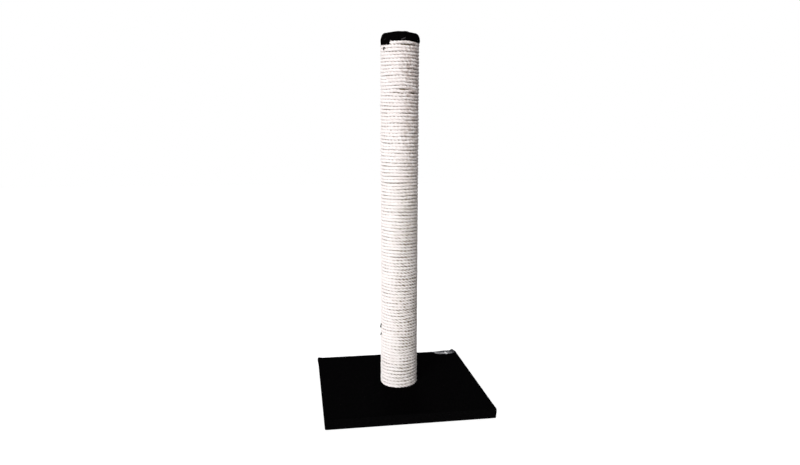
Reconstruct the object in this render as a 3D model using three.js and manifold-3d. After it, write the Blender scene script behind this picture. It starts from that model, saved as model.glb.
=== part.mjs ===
// Cat scratching post: a square board covered in carpet carries one upright cardboard tube, which is wound
// from end to end with sisal rope and closed with a carpet cap. One bolt from below holds the tube's foot.
// Millimetres, +Z up. The origin is the middle of the underside, and the board's sides run along X and Y.

import * as THREE from 'three';
import { mergeVertices } from 'three/addons/utils/BufferGeometryUtils.js';
import Module from 'manifold-3d';

const wasm = await Module();
wasm.setup();

// ---- Driving dimensions ----

const FIT_GAP = 0.3; // left between pieces that touch
const OVERCUT = 1; // how far a cutter, or a piece joined to another, runs past the face
const WELD = 1e-4; // corners nearer than this are one
const CARPET = 4; // thickness of the carpet, pile included

const BASE_SIDE = 400; // square base, over its carpet
const BOARD_THICKNESS = 15;
const EDGE_ROUND = 3; // how much the carpet rounds the base's edges
const FLAP_WIDTH = 35; // carpet turned under the base, measured from the side
const MITRE_SLIT = 1; // between two flaps at a corner

const TUBE_DIAMETER = 76.2;
const TUBE_WALL = 5;
const TUBE_LENGTH = 867;
const FOOT_PLUG_THICKNESS = 30;
const TOP_PLUG_THICKNESS = 18;

const ROPE_DIAMETER = 8; // how far the rope stands off the tube
const ROPE_SQUEEZE = 0.1; // what each turn loses in width between its neighbours
const ROPE_TURN_GAP = 0.45; // open groove between two turns, at the tube
const ROPE_END_ANGLE = -130.6; // degrees about +Z, where the rope's upper end is
const ROPE_STEPS = 13; // straight lengths in one turn

const CAP_BAND = 20; // carpet that shows above the rope's upper end
const CAP_SHOULDER = 8; // radius of the cap's rounded rim
const CAP_LEAN = 3.5; // how far the cap's side leans in towards the rim
const CAP_TUCK = 1; // how far the skirt draws in at its lower edge
const CAP_CROWN = 0.8; // rise of the cap's middle over its rim
const CAP_STEP_GAP = 1.2; // between the skirt's step and the rope's cut end

const STAPLE_CROWN = 10;
const STAPLE_LEG = 12;
const STAPLE_WIDE = 1.2; // flat wire, across
const STAPLE_THICK = 0.6;
const STAPLES_PER_SIDE = 4;
const CAP_STAPLES = 6;
const CAP_STAPLE_ANGLE = -88;
const CAP_STAPLE_TILT = 25; // degrees, as they are shot by hand
const ROPE_STAPLES = 2; // at each end of the rope, one to a straight length

const BOLT_DIAMETER = 8;
const BOLT_PAST_NUT = 4.5;
const BOLT_HEAD_ACROSS_FLATS = 13;
const BOLT_HEAD_HEIGHT = 5.3;
const WASHER_DIAMETER = 24;
const WASHER_THICKNESS = 2;
const COUNTERBORE_ROOM = 2; // round the washer

const TEE_NUT_FLANGE_DIAMETER = 22;
const TEE_NUT_FLANGE_THICKNESS = 1.5;
const TEE_NUT_BARREL_DIAMETER = 11;
const TEE_NUT_BARREL_LENGTH = 11;
const TEE_NUT_PRONGS = 4;
const PRONG_INSET = 1; // from the flange's rim
const PRONG_LENGTH = 6;
const PRONG_WIDE = 3;
const PRONG_THICK = 1.2;

const SCREWS_PER_PLUG = 3;
const SCREW_DIAMETER = 3.5;
const SCREW_LENGTH = 20;
const SCREW_HEAD_DIAMETER = 7;
const SCREW_HEAD_HEIGHT = 2.2;
const SCREW_POINT = 4;

const LABEL_WIDTH = 64; // half oval sticker in the base's rear right corner
const LABEL_DEPTH = 23;
const LABEL_THICKNESS = 0.4;

// ---- Sizes that follow ----

const BASE_TOP = 2 * (CARPET + FIT_GAP) + BOARD_THICKNESS;
const BOARD_BOTTOM = CARPET + FIT_GAP;
const BOARD_TOP = BOARD_BOTTOM + BOARD_THICKNESS;
const BOARD_SIDE = BASE_SIDE - 2 * (CARPET + FIT_GAP);

const TUBE_RADIUS = TUBE_DIAMETER / 2;
const BORE_RADIUS = TUBE_RADIUS - TUBE_WALL;
const PLUG_RADIUS = BORE_RADIUS - FIT_GAP;
const TUBE_BOTTOM = BASE_TOP + FIT_GAP;
const TUBE_TOP = TUBE_BOTTOM + TUBE_LENGTH;

const CAP_INNER_RADIUS = TUBE_RADIUS + FIT_GAP;
const CAP_OUTER_RADIUS = CAP_INNER_RADIUS + 2 * CARPET; // the pleats double the carpet
const CAP_CEILING = TUBE_TOP + FIT_GAP;
const CAP_RIM = CAP_CEILING + CARPET;
const CAP_EDGE = CAP_RIM - CAP_BAND; // where the rope's upper end meets it
const CAP_RIM_ROUND = Math.min(CAP_SHOULDER, CAP_BAND / 2);
const CAP_LEAN_START = CAP_EDGE + (CAP_BAND - CAP_RIM_ROUND) / 3; // the staples' height too

const ROPE_PITCH = ROPE_DIAMETER - ROPE_SQUEEZE;
const ROPE_WIDTH = ROPE_PITCH - ROPE_TURN_GAP;
const ROPE_STEP_ANGLE = (2 * Math.PI) / ROPE_STEPS;
const ROPE_START = THREE.MathUtils.degToRad(ROPE_END_ANGLE);
const ROPE_FLAT = Math.cos(ROPE_STEP_ANGLE / 2);
const ROPE_INNER_RADIUS = (TUBE_RADIUS + FIT_GAP) / ROPE_FLAT;
const ROPE_OUTER_RADIUS = TUBE_RADIUS + FIT_GAP + ROPE_DIAMETER;
const ROPE_TOP_CENTRE = CAP_EDGE - FIT_GAP - ROPE_WIDTH / 2;
const ROPE_LOWEST_CENTRE = BASE_TOP + FIT_GAP + ROPE_WIDTH / 2;
const ROPE_TURNS = (ROPE_TOP_CENTRE - ROPE_LOWEST_CENTRE) / ROPE_PITCH;
const ROPE_LENGTHS = Math.floor(ROPE_TURNS * ROPE_STEPS);

const BOLT_SEAT = BOARD_BOTTOM + BOLT_HEAD_HEIGHT + 2 * FIT_GAP;
const WASHER_TOP = BOLT_SEAT + FIT_GAP + WASHER_THICKNESS;
const COUNTERBORE_TOP = WASHER_TOP + FIT_GAP;
const BOLT_HOLE_RADIUS = BOLT_DIAMETER / 2 + FIT_GAP;
const TEE_NUT_SEAT = TUBE_BOTTOM + FOOT_PLUG_THICKNESS + FIT_GAP;
const TEE_NUT_TOP = TEE_NUT_SEAT + TEE_NUT_FLANGE_THICKNESS;
const PRONG_RADIUS = (TEE_NUT_FLANGE_DIAMETER - PRONG_THICK) / 2 - PRONG_INSET;
const SCREW_ANGLE = CAP_STAPLE_ANGLE + 180 / CAP_STAPLES; // halfway between two cap staples

const STAPLE_ROW = BASE_SIDE / 2 - FLAP_WIDTH / 2; // middle of the flaps
const LABEL_BACK = BASE_SIDE / 2 - EDGE_ROUND;

const TUBE_SIDES = 40;
const CAP_SIDES = 36;
const SMALL_SIDES = 12;
const SCREW_SIDES = 8;
const EDGE_STEPS = 2;
const RIM_STEPS = 4;

// ---- Materials ----

function finish(color, roughness, metalness = 0) {
  return new THREE.MeshStandardMaterial({ color, roughness, metalness });
}

const carpetFinish = finish(0x070707, 0.95);
const ropeFinish = finish(0xe8e0da, 0.85);
const chipboardFinish = finish(0xb08a5a, 0.8);
const cardboardFinish = finish(0xa9825a, 0.85);
const pineFinish = finish(0xd2ae78, 0.7);
const zincFinish = finish(0xb9bcc0, 0.35, 1);
const labelFinish = finish(0x8a8c92, 0.4, 0.3);

// ---- Solids and booleans ----

// Closed mesh with shared corners: normals and uvs go, and triangles that have closed up on an axis go too.
function weld(geometry) {
  const bare = geometry.clone();
  bare.deleteAttribute('normal');
  bare.deleteAttribute('uv');
  const merged = mergeVertices(bare, WELD);
  const old = merged.index.array;
  const kept = [];
  for (let i = 0; i < old.length; i += 3) {
    const [a, b, c] = old.slice(i, i + 3);
    if (a !== b && b !== c && c !== a) kept.push(a, b, c);
  }
  merged.setIndex(kept);
  return merged;
}

function solid(geometry) {
  const welded = weld(geometry);
  return new wasm.Manifold(new wasm.Mesh({
    numProp: 3,
    vertProperties: new Float32Array(welded.attributes.position.array),
    triVerts: new Uint32Array(welded.index.array),
  }));
}

function geometryOf(body) {
  const mesh = body.getMesh();
  const geometry = new THREE.BufferGeometry();
  geometry.setAttribute('position', new THREE.BufferAttribute(new Float32Array(mesh.vertProperties), 3));
  geometry.setIndex(new THREE.BufferAttribute(new Uint32Array(mesh.triVerts), 1));
  geometry.computeVertexNormals();
  return geometry;
}

function cut(body, cutters) {
  return cutters.reduce((left, cutter) => left.subtract(cutter), body);
}

function join(bodies) {
  return bodies.reduce((whole, body) => whole.add(body));
}

// Closed tube through rings of corners, each ring counter-clockwise seen from the tube's start.
function tubeThrough(rings) {
  const sides = rings[0].length;
  const last = (rings.length - 1) * sides;
  const triangles = [];
  for (let corner = 1; corner < sides - 1; corner += 1) {
    triangles.push(0, corner, corner + 1);
    triangles.push(last, last + corner + 1, last + corner);
  }
  for (let i = 0; i < last; i += sides) {
    for (let side = 0; side < sides; side += 1) {
      const a = i + side;
      const b = i + ((side + 1) % sides);
      triangles.push(a, a + sides, b + sides, a, b + sides, b);
    }
  }
  const geometry = new THREE.BufferGeometry().setFromPoints(rings.flat());
  geometry.setIndex(triangles);
  return solid(geometry);
}

function cylinder(radius, bottom, top, sides) {
  const geometry = new THREE.CylinderGeometry(radius, radius, top - bottom, sides);
  return solid(geometry.rotateX(Math.PI / 2).translate(0, 0, (bottom + top) / 2));
}

function box(width, depth, bottom, top) {
  return solid(new THREE.BoxGeometry(width, depth, top - bottom).translate(0, 0, (bottom + top) / 2));
}

// Turned about +Z. The profile runs from the axis at the bottom to the axis at the top.
function turned(profile, sides) {
  return solid(new THREE.LatheGeometry(profile, sides).rotateX(Math.PI / 2));
}

// Matrix for a fastener driven towards the axis: its -Z points inwards, its X is level before the tilt.
function radialPlace(radius, angle, height, tilt = 0) {
  const place = new THREE.Matrix4().makeRotationZ(angle);
  place.multiply(new THREE.Matrix4().makeTranslation(radius, 0, height));
  place.multiply(new THREE.Matrix4().makeRotationY(Math.PI / 2));
  place.multiply(new THREE.Matrix4().makeRotationZ(Math.PI / 2 + tilt));
  return place;
}

function around(count, firstAngle) {
  const first = THREE.MathUtils.degToRad(firstAngle);
  return Array.from({ length: count }, (_, i) => first + (i * 2 * Math.PI) / count);
}

// ---- Fasteners, each driven along -Z from the origin ----

// U of flat wire with its crown along X, flush at z = 0. grow makes the pocket that it sits in.
function stapleGeometry(grow = 0) {
  const half = STAPLE_CROWN / 2 + grow;
  const inner = STAPLE_CROWN / 2 - STAPLE_THICK - grow;
  const foot = -STAPLE_LEG - grow;
  const outline = new THREE.Shape();
  outline.moveTo(-half, grow);
  outline.lineTo(-half, foot);
  outline.lineTo(-inner, foot);
  outline.lineTo(-inner, -STAPLE_THICK - grow);
  outline.lineTo(inner, -STAPLE_THICK - grow);
  outline.lineTo(inner, foot);
  outline.lineTo(half, foot);
  outline.lineTo(half, grow);
  const wire = STAPLE_WIDE + 2 * grow;
  const geometry = new THREE.ExtrudeGeometry(outline, { depth: wire, bevelEnabled: false });
  return geometry.translate(0, 0, -wire / 2).rotateX(Math.PI / 2);
}

// Countersunk screw with its head flush at z = 0. grow makes its hole, open above the head.
function screwGeometry(grow = 0) {
  const shank = SCREW_DIAMETER / 2 + grow;
  const head = SCREW_HEAD_DIAMETER / 2 + grow;
  const profile = [
    new THREE.Vector2(0, -SCREW_LENGTH - grow),
    new THREE.Vector2(shank, -SCREW_LENGTH + SCREW_POINT - grow),
    new THREE.Vector2(shank, -SCREW_HEAD_HEIGHT),
    new THREE.Vector2(head, -grow),
    new THREE.Vector2(head, 2 * grow),
    new THREE.Vector2(0, 2 * grow),
  ];
  const points = grow > 0 ? profile : profile.filter((_, i) => i !== 4);
  return new THREE.LatheGeometry(points, SCREW_SIDES).rotateX(Math.PI / 2);
}

const pockets = (geometryFor, places) => (
  places.map((place) => solid(geometryFor(FIT_GAP).applyMatrix4(place)))
);

// ---- Where the fasteners sit ----

function basePlaces() {
  const places = [];
  const spacing = (BASE_SIDE - 2 * FLAP_WIDTH) / STAPLES_PER_SIDE;
  for (const side of around(4, 0)) {
    for (let i = 0; i < STAPLES_PER_SIDE; i += 1) {
      const along = (i - (STAPLES_PER_SIDE - 1) / 2) * spacing;
      const place = new THREE.Matrix4().makeRotationZ(side);
      place.multiply(new THREE.Matrix4().makeTranslation(STAPLE_ROW, along, FIT_GAP));
      place.multiply(new THREE.Matrix4().makeRotationX(Math.PI));
      place.multiply(new THREE.Matrix4().makeRotationZ(Math.PI / 2));
      places.push(place);
    }
  }
  return places;
}

function capPlaces() {
  const tilt = THREE.MathUtils.degToRad(CAP_STAPLE_TILT);
  return around(CAP_STAPLES, CAP_STAPLE_ANGLE)
    .map((angle) => radialPlace(CAP_OUTER_RADIUS - FIT_GAP, angle, CAP_LEAN_START, tilt));
}

const onPost = (radius, angle, height) => (
  new THREE.Vector3(radius * Math.cos(angle), radius * Math.sin(angle), height)
);

// Centre line of the rope after so many turns from its upper end.
const ropeHeight = (turns) => ROPE_TOP_CENTRE - turns * ROPE_PITCH;
const ropeAngle = (turns) => ROPE_START + turns * 2 * Math.PI;

function ropeStaplePlaces(atTop) {
  const slope = Math.atan2(ROPE_PITCH, 2 * Math.PI * ROPE_OUTER_RADIUS);
  const radius = ROPE_OUTER_RADIUS * ROPE_FLAT - FIT_GAP;
  return Array.from({ length: ROPE_STAPLES }, (_, i) => {
    const fromEnd = i + 0.5;
    const turns = (atTop ? fromEnd : ROPE_LENGTHS - fromEnd) / ROPE_STEPS;
    return radialPlace(radius, ropeAngle(turns), ropeHeight(turns), -slope);
  });
}

function screwPlaces(height) {
  return around(SCREWS_PER_PLUG, SCREW_ANGLE)
    .map((angle) => radialPlace(TUBE_RADIUS - FIT_GAP, angle, height));
}

const baseStaplePlaces = basePlaces();
const capStaplePlaces = capPlaces();
const topRopePlaces = ropeStaplePlaces(true);
const footRopePlaces = ropeStaplePlaces(false);
const topScrewPlaces = screwPlaces(TUBE_TOP - TOP_PLUG_THICKNESS / 2);
const footScrewPlaces = screwPlaces(TUBE_BOTTOM + FOOT_PLUG_THICKNESS / 2);
const staplesInTube = [...capStaplePlaces, ...topRopePlaces, ...footRopePlaces];

// ---- Base ----

function roundedSquare(side, radius) {
  const far = side / 2;
  const near = far - radius;
  const outline = new THREE.Shape();
  outline.moveTo(-near, -far);
  outline.lineTo(near, -far);
  outline.absarc(near, -near, radius, -Math.PI / 2, 0);
  outline.lineTo(far, near);
  outline.absarc(near, near, radius, 0, Math.PI / 2);
  outline.lineTo(-near, far);
  outline.absarc(-near, near, radius, Math.PI / 2, Math.PI);
  outline.lineTo(-far, -near);
  outline.absarc(-near, -near, radius, Math.PI, Math.PI * 1.5);
  return outline;
}

// One sheet of carpet over the board, down its sides and turned under as four flaps.
function baseCarpet() {
  const outline = roundedSquare(BASE_SIDE - 2 * EDGE_ROUND, EDGE_ROUND / 2);
  const skin = solid(new THREE.ExtrudeGeometry(outline, {
    depth: BASE_TOP - 2 * EDGE_ROUND,
    bevelThickness: EDGE_ROUND,
    bevelSize: EDGE_ROUND,
    bevelSegments: EDGE_STEPS,
    curveSegments: EDGE_STEPS,
  }).translate(0, 0, EDGE_ROUND));
  const roomSide = BOARD_SIDE + 2 * FIT_GAP;
  const boardRoom = box(roomSide, roomSide, CARPET, BASE_TOP - CARPET);
  const openSide = BASE_SIDE - 2 * FLAP_WIDTH;
  const underside = box(openSide, openSide, -OVERCUT, CARPET + OVERCUT);
  const boltHole = cylinder(BOLT_HOLE_RADIUS, CARPET, BASE_TOP + OVERCUT, SMALL_SIDES);
  const staplePockets = pockets(stapleGeometry, baseStaplePlaces);
  return cut(skin, [boardRoom, underside, boltHole, ...mitreSlits(), ...staplePockets]);
}

// The flaps meet in a slit at each corner, from their inner corner to the rounded edge.
function mitreSlits() {
  const run = FLAP_WIDTH - 2 * EDGE_ROUND;
  const middle = (BASE_SIDE / 2 - FLAP_WIDTH + run / 2) * Math.SQRT2;
  return around(4, 45).map((angle) => {
    const slit = new THREE.BoxGeometry(run * Math.SQRT2, MITRE_SLIT, 2 * (CARPET + FIT_GAP / 2));
    return solid(slit.translate(middle, 0, 0).rotateZ(angle));
  });
}

function baseBoard() {
  const board = box(BOARD_SIDE, BOARD_SIDE, BOARD_BOTTOM, BOARD_TOP);
  const boltHole = cylinder(BOLT_HOLE_RADIUS, 0, BASE_TOP, SMALL_SIDES);
  const recess = cylinder(WASHER_DIAMETER / 2 + COUNTERBORE_ROOM, 0, COUNTERBORE_TOP, 2 * SMALL_SIDES);
  return cut(board, [boltHole, recess, ...pockets(stapleGeometry, baseStaplePlaces)]);
}

function cornerLabel() {
  const outline = new THREE.Shape();
  outline.moveTo(-LABEL_WIDTH / 2, 0);
  outline.absellipse(0, 0, LABEL_WIDTH / 2, LABEL_DEPTH, Math.PI, 2 * Math.PI);
  const plate = new THREE.ExtrudeGeometry(outline, {
    depth: LABEL_THICKNESS,
    bevelEnabled: false,
    curveSegments: SMALL_SIDES,
  });
  return solid(plate.translate(LABEL_BACK - LABEL_WIDTH / 2, LABEL_BACK, BASE_TOP + FIT_GAP));
}

// ---- Post ----

function postTube() {
  const wall = cylinder(TUBE_RADIUS, TUBE_BOTTOM, TUBE_TOP, TUBE_SIDES);
  const bore = cylinder(BORE_RADIUS, TUBE_BOTTOM - OVERCUT, TUBE_TOP + OVERCUT, TUBE_SIDES);
  const screwHoles = pockets(screwGeometry, [...topScrewPlaces, ...footScrewPlaces]);
  return cut(wall, [bore, ...screwHoles, ...pockets(stapleGeometry, staplesInTube)]);
}

function topPlug() {
  const disc = cylinder(PLUG_RADIUS, TUBE_TOP - TOP_PLUG_THICKNESS, TUBE_TOP, TUBE_SIDES);
  const screwHoles = pockets(screwGeometry, topScrewPlaces);
  return cut(disc, [...screwHoles, ...pockets(stapleGeometry, staplesInTube)]);
}

function footPlug() {
  const disc = cylinder(PLUG_RADIUS, TUBE_BOTTOM, TUBE_BOTTOM + FOOT_PLUG_THICKNESS, TUBE_SIDES);
  const boltHole = cylinder(BOLT_HOLE_RADIUS, 0, TUBE_TOP, SMALL_SIDES);
  const screwHoles = pockets(screwGeometry, footScrewPlaces);
  const staplePockets = pockets(stapleGeometry, footRopePlaces);
  return cut(disc, [boltHole, teeNutBody(FIT_GAP), ...screwHoles, ...staplePockets]);
}

// Barrel and prongs hang below the flange. grow makes the pocket that the nut is pressed into.
function teeNutBody(grow = 0) {
  const foot = TEE_NUT_SEAT - TEE_NUT_BARREL_LENGTH - grow;
  const flange = cylinder(TEE_NUT_FLANGE_DIAMETER / 2, TEE_NUT_SEAT - grow, TEE_NUT_TOP, 2 * SMALL_SIDES);
  const barrel = cylinder(TEE_NUT_BARREL_DIAMETER / 2 + grow, foot, TEE_NUT_TOP, SMALL_SIDES);
  const length = PRONG_LENGTH + grow + OVERCUT;
  const prongs = around(TEE_NUT_PRONGS, 45).map((angle) => {
    const prong = new THREE.BoxGeometry(PRONG_THICK + 2 * grow, PRONG_WIDE + 2 * grow, length);
    return solid(prong.translate(PRONG_RADIUS, 0, TEE_NUT_SEAT + OVERCUT - length / 2).rotateZ(angle));
  });
  return join([flange, barrel, ...prongs]);
}

function teeNut() {
  return teeNutBody().subtract(cylinder(BOLT_HOLE_RADIUS, TUBE_BOTTOM, TUBE_TOP, SMALL_SIDES));
}

function centreBolt() {
  const headRadius = BOLT_HEAD_ACROSS_FLATS / Math.sqrt(3);
  const head = cylinder(headRadius, BOLT_SEAT - BOLT_HEAD_HEIGHT, BOLT_SEAT, 6);
  const tip = TEE_NUT_TOP + BOLT_PAST_NUT;
  const shank = cylinder(BOLT_DIAMETER / 2, BOLT_SEAT - OVERCUT, tip, SMALL_SIDES);
  return head.add(shank);
}

function boltWasher() {
  const disc = cylinder(WASHER_DIAMETER / 2, WASHER_TOP - WASHER_THICKNESS, WASHER_TOP, 2 * SMALL_SIDES);
  return disc.subtract(cylinder(BOLT_HOLE_RADIUS, 0, BASE_TOP, SMALL_SIDES));
}

// ---- Rope: one unbroken tube of three sides, wound down the post from the cap to the base ----

// Three corners of the rope's section after so many turns: at the tube below and above, and the crest.
function ropeSection(turns) {
  const height = ropeHeight(turns);
  const angle = ropeAngle(turns);
  const corner = (radius, rise) => onPost(radius, angle, height + rise);
  return [
    corner(ROPE_INNER_RADIUS, -ROPE_WIDTH / 2),
    corner(ROPE_OUTER_RADIUS, 0),
    corner(ROPE_INNER_RADIUS, ROPE_WIDTH / 2),
  ];
}

function ropeSections() {
  return Array.from({ length: ROPE_LENGTHS + 1 }, (_, i) => ropeSection(i / ROPE_STEPS));
}

// Least distance from a turn's corners to the straights of the turn below it.
function leastTurnGap(sections) {
  let least = Infinity;
  const nearest = new THREE.Vector3();
  for (let i = 0; i + ROPE_STEPS + 1 < sections.length; i += 1) {
    for (const next of [i + ROPE_STEPS - 1, i + ROPE_STEPS]) {
      for (let corner = 0; corner < 3; corner += 1) {
        const straight = new THREE.Line3(sections[next][corner], sections[next + 1][corner]);
        for (const point of sections[i]) {
          straight.closestPointToPoint(point, true, nearest);
          least = Math.min(least, nearest.distanceTo(point));
        }
      }
    }
  }
  return least;
}

function ropeWinding() {
  const sections = ropeSections();
  console.log(`rope_winding: ${(ROPE_LENGTHS / ROPE_STEPS).toFixed(1)} turns,`
    + ` least gap between turns ${leastTurnGap(sections).toFixed(2)} mm`);
  return cut(tubeThrough(sections), pockets(stapleGeometry, [...topRopePlaces, ...footRopePlaces]));
}

// ---- Cap ----

// Ring under the cap's edge that grows with the rope's slope, so the skirt follows the rope all round.
function capWedge() {
  const inner = CAP_INNER_RADIUS - OVERCUT;
  const outer = CAP_OUTER_RADIUS - CAP_TUCK;
  const high = CAP_EDGE + CAP_TUCK;
  const fullSweep = 2 * Math.PI - CAP_STEP_GAP / CAP_INNER_RADIUS;
  const rings = Array.from({ length: CAP_SIDES }, (_, i) => {
    const swept = Math.min(((i + 1) * 2 * Math.PI) / CAP_SIDES, fullSweep);
    const low = CAP_EDGE - (ROPE_PITCH * swept) / (2 * Math.PI);
    const corner = (radius, height) => onPost(radius, ROPE_START + swept, height);
    return [corner(inner, low), corner(outer, low), corner(outer, high), corner(inner, high)];
  });
  return tubeThrough(rings);
}

function capProfile() {
  const rimRadius = CAP_OUTER_RADIUS - CAP_LEAN - CAP_RIM_ROUND;
  const profile = [
    new THREE.Vector2(0, CAP_EDGE),
    new THREE.Vector2(CAP_OUTER_RADIUS - CAP_TUCK, CAP_EDGE),
    new THREE.Vector2(CAP_OUTER_RADIUS, CAP_EDGE + CAP_TUCK),
    new THREE.Vector2(CAP_OUTER_RADIUS, CAP_LEAN_START),
  ];
  for (let i = 0; i <= RIM_STEPS; i += 1) {
    const turn = (i / RIM_STEPS) * (Math.PI / 2);
    profile.push(new THREE.Vector2(
      rimRadius + CAP_RIM_ROUND * Math.cos(turn),
      CAP_RIM - CAP_RIM_ROUND * (1 - Math.sin(turn)),
    ));
  }
  profile.push(new THREE.Vector2(0, CAP_RIM + CAP_CROWN));
  return profile;
}

function capCarpet() {
  const inside = cylinder(CAP_INNER_RADIUS, TUBE_BOTTOM, CAP_CEILING, TUBE_SIDES);
  const body = turned(capProfile(), CAP_SIDES).add(capWedge());
  return cut(body, [inside, ...pockets(stapleGeometry, capStaplePlaces)]);
}

// ---- The post, put together ----

const post = new THREE.Group();

function add(name, geometry, material) {
  const mesh = new THREE.Mesh(geometry, material);
  mesh.name = name;
  post.add(mesh);
}

function addFasteners(name, geometryFor, places) {
  const group = new THREE.Group();
  const digits = String(places.length).length;
  places.forEach((place, i) => {
    const mesh = new THREE.Mesh(geometryFor(), zincFinish);
    mesh.name = `${name}_${String(i + 1).padStart(digits, '0')}`;
    mesh.applyMatrix4(place);
    group.add(mesh);
  });
  post.add(group);
}

add('base_board', geometryOf(baseBoard()), chipboardFinish);
add('base_carpet', geometryOf(baseCarpet()), carpetFinish);
add('corner_label', geometryOf(cornerLabel()), labelFinish);
add('post_tube', geometryOf(postTube()), cardboardFinish);
add('foot_plug', geometryOf(footPlug()), pineFinish);
add('top_plug', geometryOf(topPlug()), chipboardFinish);
add('rope_winding', geometryOf(ropeWinding()), ropeFinish);
add('cap_carpet', geometryOf(capCarpet()), carpetFinish);
add('tee_nut', geometryOf(teeNut()), zincFinish);
add('centre_bolt', geometryOf(centreBolt()), zincFinish);
add('bolt_washer', geometryOf(boltWasher()), zincFinish);
addFasteners('base_staple', stapleGeometry, baseStaplePlaces);
addFasteners('cap_staple', stapleGeometry, capStaplePlaces);
addFasteners('rope_top_staple', stapleGeometry, topRopePlaces);
addFasteners('rope_foot_staple', stapleGeometry, footRopePlaces);
addFasteners('top_plug_screw', screwGeometry, topScrewPlaces);
addFasteners('foot_plug_screw', screwGeometry, footScrewPlaces);

export default post;
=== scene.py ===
"""Looks of a cat scratching post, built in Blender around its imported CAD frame. Metres, +Z up.

A square base in black carpet, a post wound in off-white three-strand sisal rope, and a gathered cap of
the same carpet. Angles round the post are about +Z, from +X.
"""

import math

import bpy
import numpy as np
from mathutils import Matrix, Vector


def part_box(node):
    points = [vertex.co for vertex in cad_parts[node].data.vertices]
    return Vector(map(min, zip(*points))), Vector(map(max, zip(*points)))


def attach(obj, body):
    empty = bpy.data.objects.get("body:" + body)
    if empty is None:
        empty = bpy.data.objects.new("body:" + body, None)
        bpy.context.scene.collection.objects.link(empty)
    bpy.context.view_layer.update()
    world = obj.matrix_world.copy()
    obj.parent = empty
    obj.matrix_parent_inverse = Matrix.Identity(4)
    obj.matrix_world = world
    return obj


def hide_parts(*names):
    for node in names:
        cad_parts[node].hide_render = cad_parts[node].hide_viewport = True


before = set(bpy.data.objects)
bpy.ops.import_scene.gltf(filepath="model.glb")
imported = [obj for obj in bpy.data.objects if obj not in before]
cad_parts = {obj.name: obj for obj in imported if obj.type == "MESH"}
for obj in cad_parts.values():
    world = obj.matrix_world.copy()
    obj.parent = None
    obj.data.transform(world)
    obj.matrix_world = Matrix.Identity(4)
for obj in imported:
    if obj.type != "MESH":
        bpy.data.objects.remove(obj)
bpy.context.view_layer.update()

MM = 0.001
FULL_TURN = 2 * math.pi
BODY = "root"
RNG = np.random.default_rng(31)

# ---- Sizes from the frame ----

_, BASE_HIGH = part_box("base_carpet")
_, TUBE_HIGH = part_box("post_tube")
_, ROPE_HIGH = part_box("rope_winding")
LABEL_LOW, LABEL_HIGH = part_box("corner_label")

HALF_BASE = BASE_HIGH.x
BASE_TOP = BASE_HIGH.z
TUBE_RADIUS = TUBE_HIGH.x
TUBE_TOP = TUBE_HIGH.z

# ---- Rope ----

ROPE_DIAMETER = 8 * MM
ROPE_PITCH = 7.9 * MM
ROPE_AXIS = TUBE_RADIUS + 4.8 * MM  # from the post's axis to the rope's middle
ROPE_SURFACE = ROPE_AXIS + ROPE_DIAMETER / 2
ROPE_END = math.radians(-130.6)  # where the rope's upper end is
ROPE_TOP = ROPE_HIGH.z - 7.45 * MM / 2  # less half the height of the frame's rope
ROPE_FOOT = BASE_TOP + ROPE_DIAMETER / 2
ROPE_TURNS = (ROPE_TOP - ROPE_FOOT) / ROPE_PITCH
ROPE_LENGTH = ROPE_TURNS * FULL_TURN * ROPE_AXIS
ROPE_SQUASH = 1.04  # how much taller than wide the turns are pressed
ROPE_LAY = 27 * MM  # length in which a strand goes once round the rope
STRANDS = 3
STRAND_OFFSET = 2.15 * MM  # from the rope's middle to a strand's middle
STRAND_RADIUS = 2.03 * MM
STRAND_SIDES = 7
STEPS_PER_LAY = 8
LAY_START = 40.0  # metres between the strands' places on the UV map
END_ROUND = 1.8 * MM  # length of a strand's rounded cut end
END_RINGS = np.array([0, 0.12, 0.35, 0.7])  # shares of it at which there are rings
END_SPREAD = 0.45 * MM  # how far the strands part at the cut ends
END_SPREAD_LENGTH = 9 * MM
FOOT_TURNS = 8  # that take up the flat last turn's slack
FOOT_RAMP = 0.075  # share of a turn in which the rope comes down onto the base

# How the winding is uneven: how far, and the length over which that changes
WAVE_ORDERS = 5
TURN_WAVES = (0.7 * MM, 310 * MM)  # several turns together, up and down
TURN_WANDER = (0.42 * MM, 55 * MM)  # a turn on its own, up and down
TURN_QUIVER = (0.2 * MM, 9 * MM)  # the same, at the scale of its strands
DEPTH_WAVES = (0.2 * MM, 170 * MM)  # several turns together, in and out
DEPTH_WANDER = (0.25 * MM, 45 * MM)  # a turn on its own, in and out
LAY_WANDER = (0.9, 220 * MM)  # the strands' way round the rope, in radians
LAY_QUIVER = (0.3, 40 * MM)
STRAND_TWIST = (0.12, 20 * MM)  # the same, a strand on its own
STRAND_APART = (0.05, 14 * MM)  # share of its distance from the rope's middle
STRAND_SWELL = (0.1, 13 * MM)  # share of its thickness
STRAND_LUMPS = (0.1, 6 * MM)
STRAY_FROM_FOOT = 40 * MM  # from the foot, where the turns come to stray fully
STRAY_FROM_TOP = 30 * MM  # the same from the top
STRAY_AT_TOP = 4 * MM  # how far along that they are at the very top

# Where two turns part, or close up if negative: angle, rough height, half width, how far (degrees, mm)
PARTINGS = [(-72, 866.2, 26, 3.0), (-108, 759.8, 20, 1.4), (-88, 764.2, 10, 3.2), (-53, 754.9, 10, 4.6),
            (-37, 301.1, 8, 1.8), (-61, 73.2, 8, 1.8), (-130, 85.2, 40, -1.2)]
PARTING_REACH = 20 * MM  # how far up and down it pushes the other turns
PARTING_SLOPE = ROPE_PITCH / 4  # over which the push turns from down to up

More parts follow.
